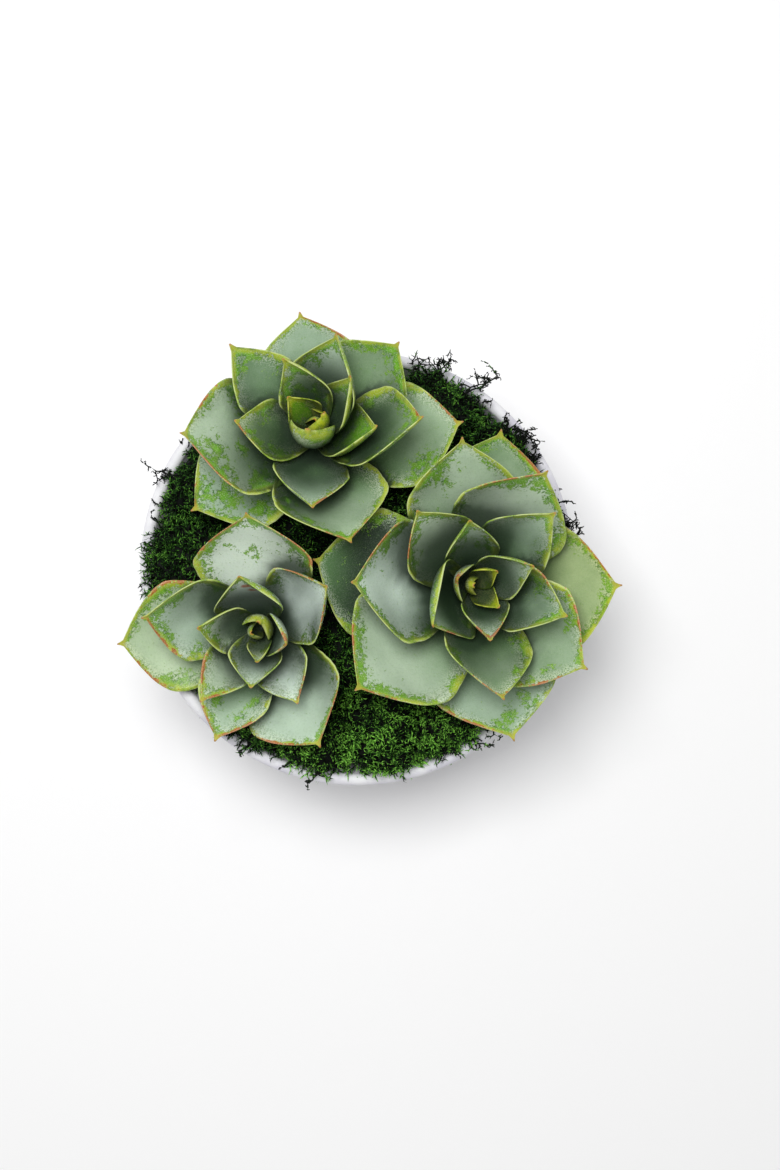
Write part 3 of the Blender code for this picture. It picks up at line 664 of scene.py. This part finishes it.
# The pale line of the edge itself, and the red flush that runs along it in places
edge_line = minus(tree, rim, times(tree, patchy, 2.0))
edge_line = minus(tree, 1.0, ramp(tree, edge_line, -0.85, -0.55))
edge_line = times(tree, edge_line, times(tree, varied, 0.5))
colour = mixed(tree, edge_line, colour, (0.60, 0.68, 0.40))
narrow = plus(tree, rim, times(tree, patchy, -5.0))
narrow = minus(tree, 1.0, ramp(tree, narrow, -1.3, -0.8))
red = plus(tree, times(tree, patchy, 4.0), times(tree, speckle, 4.0))
red = plus(tree, flushed, minus(tree, red, 4.05))
flush_place = worked(tree, "MAXIMUM", narrow, ramp(tree, flushed, 1.0, 1.5))
red = times(tree, ramp(tree, red, 0.4, 0.6), flush_place)
brick = mixed(tree, ramp(tree, powder, 0.44, 0.54), (0.38, 0.045, 0.015), (0.55, 0.20, 0.10))
colour = mixed(tree, times(tree, red, 0.85), colour, brick)

# Yellower leaves at the heart, the horny point of each leaf, and painted shade between leaves, less towards
# the tips and on worn green
gilded = mixed(tree, yellow, (1.0, 1.0, 1.0), (1.12, 1.0, 0.30))
colour = mixed(tree, 1.0, colour, gilded, "MULTIPLY")
horny = mixed(tree, ramp(tree, along, 0.975, 0.995), (0.46, 0.46, 0.05), (0.40, 0.16, 0.03))
colour = mixed(tree, times(tree, ramp(tree, along, 0.925, 0.965), 0.85), colour, horny)
shade_depth = minus(tree, near, times(tree, ramp(tree, bloom_and_painted_light, 0.6, 1.2), 0.07))
shade_free = plus(tree, ramp(tree, along, 0.45, 1.0), times(tree, vivid, 0.35))
painted_shade = times(tree, ramp(tree, shade_depth, 0.05, 0.28), minus(tree, 0.9, shade_free))
colour = mixed(tree, painted_shade, colour, (0.010, 0.026, 0.010))
tree.links.new(colour, shader.inputs["Base Color"])

# Wax is dull, bare flesh glossier and a little lower
gloss = mixed(tree, torn, (0.58, 0.58, 0.58), (0.34, 0.34, 0.34))
tree.links.new(gloss, shader.inputs["Roughness"])
relief = plus(tree, times(tree, speckle, 0.45), times(tree, torn, -0.5))
relief = plus(tree, relief, times(tree, patchy, 0.6))
bumped(tree, shader, relief, 0.0003, 0.6)
shader.inputs["Subsurface Weight"].default_value = 0.05
shader.inputs["Subsurface Radius"].default_value = (0.6, 1.0, 0.25)
shader.inputs["Subsurface Scale"].default_value = 0.002

for plant, leaves in LEAVES.items():
    bm = bmesh.new()
    for name in FIELDS:
        bm.verts.layers.float.new(name)
    bmesh.ops.create_cone(
        bm, cap_ends=True, segments=CROWN_SIDES, radius1=CROWN_RADIUS, radius2=CROWN_TIP_RADIUS,
        depth=CROWN_DROP + CROWN_TOP, matrix=Matrix.Translation((0, 0, (CROWN_TOP - CROWN_DROP) / 2)),
    )
    for vert in bm.verts:
        vert[bm.verts.layers.float["rim"]] = CROWN_RADIUS
        vert[bm.verts.layers.float["worn"]] = -1.0
        vert[bm.verts.layers.float["flushed"]] = -1.0
    for count, row in enumerate(leaves):
        grow_leaf(bm, row, count / (len(leaves) - 1), count + LEAF_SEED)
    bmesh.ops.transform(bm, matrix=plant_frame(plant), verts=bm.verts)
    find_near_leaves(bm)
    piece_from(bm, "leaf_rosette_" + plant, leaf_wax, ["rosette_" + plant])

# Moss
# Preserved moss, dyed dark green, is tucked round the rosettes in seventeen tufts.
# Each is a dense springy heart with thousands of fine forked strands that curl to a point.
STRAND_RADIUS = 0.05
STRAND_LENGTH = (4.5, 9.5)
STRAND_LEAST = 2.2
STRAND_TAPER = 0.92
STRAND_CURL = 0.75
STRAND_KINDS = 16
STRANDS_PER_AREA = 0.17
STRAND_CLEARANCE = 0.5
STRAND_TILT = 0.8
STRAND_LIFT = 0.35
STRAND_DEPTH = 0.6
BRANCH_RADIUS = 0.8
BRANCH_LENGTH = (0.3, 0.55)
BRANCH_SPREAD = 1.2
BRANCH_RISE = 0.45
MOSS_TUFTS = 17
MOSS_SEED = 500
MOSS_WELD = 0.01
MOSS_REACH = 104.0
OPEN_FACE = -0.5
HEART_SMOOTHING = 0.4
SPRAY_RADIUS = 0.55
SPRAY_JOINTS = 5
SPRAY_SPREAD = 1.1
SPRAY_BRANCH = (0.3, 0.45)
SPRAY_RISE = 0.2
SPRAY_DEPTH = 1.5
SPRAY_SHADE = 0.36
TWIG_RISE = 2.0
TWIG_RADIUS = 0.6

# The tufts at the front are left as they are, and all others are made darker
FRONT_TUFTS = (9, 10, 11, 12)
BACK_MOSS_SHADE = 0.72

# Sprays that stand out past the tufts: tuft, compass angle, height and length; and the twig, likewise
SPRAYS = (
    (5, 62, 78, 15), (5, 57, 80, 19), (5, 53, 78, 18), (5, 49, 76, 12), (5, 66, 76, 10), (5, 70, 74, 9),
    (6, 47, 72, 9), (6, 44, 76, 10), (6, 42, 70, 8), (6, 40, 74, 10), (6, 38, 78, 9), (6, 36, 70, 9),
    (6, 45, 78, 9), (6, 43, 74, 9), (6, 41, 78, 9), (6, 39, 72, 10), (6, 37, 76, 10), (6, 35, 72, 9),
    (6, 34, 76, 11), (6, 32, 72, 9), (6, 30, 78, 10), (6, 28, 74, 12), (7, 27, 72, 10), (7, 21, 78, 10),
    (7, 24, 74, 11), (7, 19, 75, 15), (7, 15, 74, 17), (7, 11, 74, 13), (7, 7, 72, 10),
    (2, 141, 76, 10), (2, 145, 72, 11), (2, 149, 76, 14), (2, 153, 74, 10), (2, 158, 72, 9), (2, 161, 76, 9),
    (1, 166, 71, 9), (1, 174, 71, 8), (1, 181, 71, 9), (1, 187, 70, 10),
    (14, 190, 66, 12), (14, 194, 70, 15), (14, 198, 66, 16), (14, 202, 70, 12), (14, 207, 68, 9),
    (13, 232, 72, 8), (13, 240, 72, 9), (12, 252, 74, 9), (12, 261, 74, 9), (11, 272, 76, 9),
    (11, 281, 76, 8), (10, 294, 74, 9), (10, 303, 74, 9), (9, 308, 70, 13), (9, 313, 70, 8),
)
TWIG = (14, 189, 69, 9)

moss_green, shader = new_material("moss_green", 0.75)
shader.inputs["Specular IOR Level"].default_value = 0.2
tree = moss_green.node_tree
# Strands are darkest at the root and brightest at the tip, as painted shade inside the mat; noise varies the
# tone by clump and by strand
rise = add_node(tree, "ShaderNodeAttribute", attribute_name="rise").outputs["Fac"]
clump = times(tree, ramp(tree, object_noise(tree, 110.0, 3.0), 0.35, 0.65), 0.5)
strand = times(tree, ramp(tree, object_noise(tree, 800.0, 2.0), 0.38, 0.66), 0.5)
lit = times(tree, worked(tree, "POWER", rise, 1.5), 1.3)
lit = times(tree, plus(tree, clump, strand), lit)
shade = mixed(tree, ramp(tree, lit, 0.04, 0.3, False), (0.0006, 0.0020, 0.0006), (0.020, 0.095, 0.007))
shade = mixed(tree, ramp(tree, lit, 0.25, 0.7, False), shade, (0.30, 0.72, 0.09))
twig = ramp(tree, rise, TWIG_RISE - 0.9, TWIG_RISE - 0.8)
tree.links.new(mixed(tree, twig, shade, (0.075, 0.030, 0.018)), shader.inputs["Base Color"])


def any_way(rng, spread):
    """A random step, as far as the spread along each axis."""
    return Vector([rng.uniform(-1, 1) for _ in range(3)]) * spread


def grow_strand(bm, start, direction, radius, length, joints, rng, low):
    """Extrude one closed three-sided strand that curls and narrows to a point; return where it can fork."""
    layer = bm.verts.layers.float["rise"]
    place = Matrix.Translation(start) @ direction.to_track_quat("Z", "Y").to_matrix().to_4x4()
    ring = bmesh.ops.create_circle(bm, cap_ends=True, segments=3, radius=radius, matrix=place)["verts"]
    for vert in ring:
        vert[layer] = low
    face = ring[0].link_faces[0]
    here = start.copy()
    forks = []
    for joint in range(joints):
        face = bmesh.ops.extrude_discrete_faces(bm, faces=[face])["faces"][0]
        direction = (direction + any_way(rng, STRAND_CURL)).normalized()
        step = direction * (length / joints)
        bmesh.ops.translate(bm, vec=step, verts=face.verts)
        here = here + step
        bmesh.ops.scale(bm, vec=(STRAND_TAPER,) * 3, space=Matrix.Translation(-here), verts=face.verts)
        for vert in face.verts:
            vert[layer] = low + (1 - low) * (joint + 1) / joints
        forks.append((here.copy(), direction.copy()))
    bmesh.ops.pointmerge(bm, verts=list(face.verts), merge_co=here)
    return forks


def strand_kind(seed):
    """A forked strand of unit length as a small mesh, and the places of its tips."""
    rng = random.Random(seed)
    bm = bmesh.new()
    bm.verts.layers.float.new("rise")
    forks = grow_strand(bm, Vector((0, 0, 0)), Vector((0, 0, 1)), STRAND_RADIUS, 1.0, 4, rng, 0.0)
    tips = [forks[-1][0]]
    for place, direction in (forks[0], forks[1], forks[2], forks[1]):
        aside = (direction + any_way(rng, BRANCH_SPREAD)).normalized()
        radius, length = STRAND_RADIUS * BRANCH_RADIUS, rng.uniform(*BRANCH_LENGTH)
        branch = grow_strand(bm, place, aside, radius, length, 2, rng, BRANCH_RISE)
        tips.append(branch[-1][0])
    bmesh.ops.holes_fill(bm, edges=[edge for edge in bm.edges if edge.is_boundary], sides=3)
    bmesh.ops.recalc_face_normals(bm, faces=bm.faces)
    mesh = bpy.data.meshes.new("strand_kind")
    bm.to_mesh(mesh)
    bm.free()
    return mesh, tips


def grow_spray(bm, start, direction, radius, length, joints, rng):
    """A lacy spray: a strand that forks at every joint, and whose forks fork again."""
    for place, way in grow_strand(bm, start, direction, radius, length, joints, rng, SPRAY_RISE):
        if joints > 2:
            aside = (way + any_way(rng, SPRAY_SPREAD)).normalized()
            shorter = length * rng.uniform(*SPRAY_BRANCH)
            grow_spray(bm, place, aside, radius * BRANCH_RADIUS, shorter, joints - 1, rng)


def outward(heart, angle, height):
    """The place on a tuft nearest the lip at a compass angle and height, and the way out from there."""
    angle = math.radians(angle)
    out = Vector((math.cos(angle), math.sin(angle), 0))
    place = heart.find_nearest(out * BOWL_RADIUS + Vector((0, 0, height)))[0]
    return place - out * SPRAY_DEPTH, out


def solid_tree(names):
    """A search tree over CAD nodes, in millimetres."""
    bm = bmesh.new()
    for name in names:
        bm.from_mesh(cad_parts[name].data)
    bmesh.ops.scale(bm, vec=(1 / MM,) * 3, verts=bm.verts)
    found = BVHTree.FromBMesh(bm)
    bm.free()
    return found


def laid_strand(corners, normal, kinds, leaves_near, rng):
    """A strand rooted somewhere on a face and shortened to clear the leaves, or None where none fits."""
    first, second = sorted((rng.random(), rng.random()))
    root = corners[0] * first + corners[1] * (second - first) + corners[2] * (1 - second)
    direction = (normal + any_way(rng, STRAND_TILT) + Vector((0, 0, STRAND_LIFT))).normalized()
    mesh, tips = kinds[rng.randrange(STRAND_KINDS)]
    length = rng.uniform(*STRAND_LENGTH)
    turn = direction.to_track_quat("Z", "Y").to_matrix().to_4x4()
    turn = turn @ Matrix.Rotation(rng.uniform(0, math.tau), 4, "Z")
    for tip in tips:
        way = turn @ (tip * length)
        hit = leaves_near.ray_cast(root, way.normalized(), way.length + STRAND_CLEARANCE)
        if hit[0] is not None:
            length *= max(0.0, hit[3] - STRAND_CLEARANCE) / way.length
    low = root.z + min((turn @ tip).z for tip in tips) * length
    wide = (root + turn @ tips[0] * length).xy.length
    if length < STRAND_LEAST or low < SOIL_TOP - 1 or wide > MOSS_REACH:
        return None
    strand = mesh.copy()
    strand.transform(Matrix.Translation(root - direction * STRAND_DEPTH) @ turn @ Matrix.Scale(length, 4))
    return strand


def add_sprays(bm, number, rng):
    """Grow a tuft's sprays, and its twig if it has one, out over the bowl's lip."""
    heart = BVHTree.FromBMesh(bm)
    rise = bm.verts.layers.float["rise"]
    start = len(bm.verts)
    for tuft, angle, height, length in SPRAYS:
        if tuft == number:
            root, out = outward(heart, angle, height)
            aside = Vector((rng.uniform(-0.4, 0.4), rng.uniform(-0.4, 0.4), rng.uniform(0, 0.4)))
            grow_spray(bm, root, (out + aside).normalized(), SPRAY_RADIUS, length, SPRAY_JOINTS, rng)
    bm.verts.ensure_lookup_table()
    for vert in bm.verts[start:]:
        vert[rise] *= SPRAY_SHADE
    if number == TWIG[0]:
        root, out = outward(heart, *TWIG[1:3])
        start = len(bm.verts)
        way = (out + Vector((0, 0.2, 0.1))).normalized()
        grow_strand(bm, root, way, TWIG_RADIUS, TWIG[3], 3, rng, 0.0)
        bm.verts.ensure_lookup_table()
        for vert in bm.verts[start:]:
            vert[rise] = TWIG_RISE


def moss_tuft(number, kinds, leaves_near):
    """A tuft's heart, from its CAD node, with forked strands rooted all over its open side."""
    rng = random.Random(MOSS_SEED + number)
    bm = bmesh.new()
    bm.from_mesh(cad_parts[f"moss_{number:02d}"].data)
    bmesh.ops.scale(bm, vec=(1 / MM,) * 3, verts=bm.verts)
    bmesh.ops.remove_doubles(bm, verts=bm.verts, dist=MOSS_WELD)
    bm.verts.layers.float.new("rise")
    bm.normal_update()
    roots = [
        (face.calc_area(), [vert.co.copy() for vert in face.verts], face.normal.copy())
        for face in bm.faces
        if face.normal.z > OPEN_FACE and face.calc_center_median().z > SOIL_TOP + 1
    ]
    bmesh.ops.smooth_vert(
        bm, verts=bm.verts, factor=HEART_SMOOTHING, use_axis_x=True, use_axis_y=True, use_axis_z=True,
    )
    strands = []
    for area, corners, normal in roots:
        wanted = area * STRANDS_PER_AREA
        for _ in range(int(wanted) + (rng.random() < wanted % 1)):
            strand = laid_strand(corners, normal, kinds, leaves_near, rng)
            if strand is not None:
                strands.append(strand)
    add_sprays(bm, number, rng)
    for strand in strands:
        bm.from_mesh(strand)
        bpy.data.meshes.remove(strand)
    rise = bm.verts.layers.float["rise"]
    for vert in bm.verts:
        if vert[rise] <= 1 and number not in FRONT_TUFTS:
            vert[rise] *= BACK_MOSS_SHADE
    return bm


kinds = [strand_kind(seed) for seed in range(STRAND_KINDS)]
leaves_near = solid_tree([kind + "_" + plant for kind in ("rosette", "stem") for plant in CROWNS])
for number in range(1, MOSS_TUFTS + 1):
    bm = moss_tuft(number, kinds, leaves_near)
    piece_from(bm, f"moss_tuft_{number:02d}", moss_green, [f"moss_{number:02d}"])
for mesh, _ in kinds:
    bpy.data.meshes.remove(mesh)

# Floor and light
# A plain white table under a large soft studio lamp from the upper left, with pale light from all round.
white, shader = new_material("white_floor", 0.9)
shader.inputs["Base Color"].default_value = (0.93, 0.93, 0.93, 1.0)
bm = bmesh.new()
bmesh.ops.create_grid(bm, x_segments=1, y_segments=1, size=3.0)
mesh = bpy.data.meshes.new("white_floor")
bm.to_mesh(mesh)
bm.free()
mesh.materials.append(white)
floor_plane = bpy.data.objects.new("white_floor", mesh)
bpy.context.scene.collection.objects.link(floor_plane)

lamp = bpy.data.objects.new("key_lamp", bpy.data.lights.new("key_lamp", "AREA"))
bpy.context.scene.collection.objects.link(lamp)
lamp.data.size = 0.65
lamp.data.energy = 12.0
lamp.location = (-0.18, 0.34, 1.25)
lamp.rotation_euler = (-lamp.location).to_track_quat("-Z", "Y").to_euler()

world = bpy.data.worlds.new("studio")
world.use_nodes = True
world.node_tree.nodes["Background"].inputs["Color"].default_value = (1.0, 1.0, 1.0, 1.0)
world.node_tree.nodes["Background"].inputs["Strength"].default_value = 0.48
bpy.context.scene.world = world
bpy.context.scene.view_settings.view_transform = "Standard"
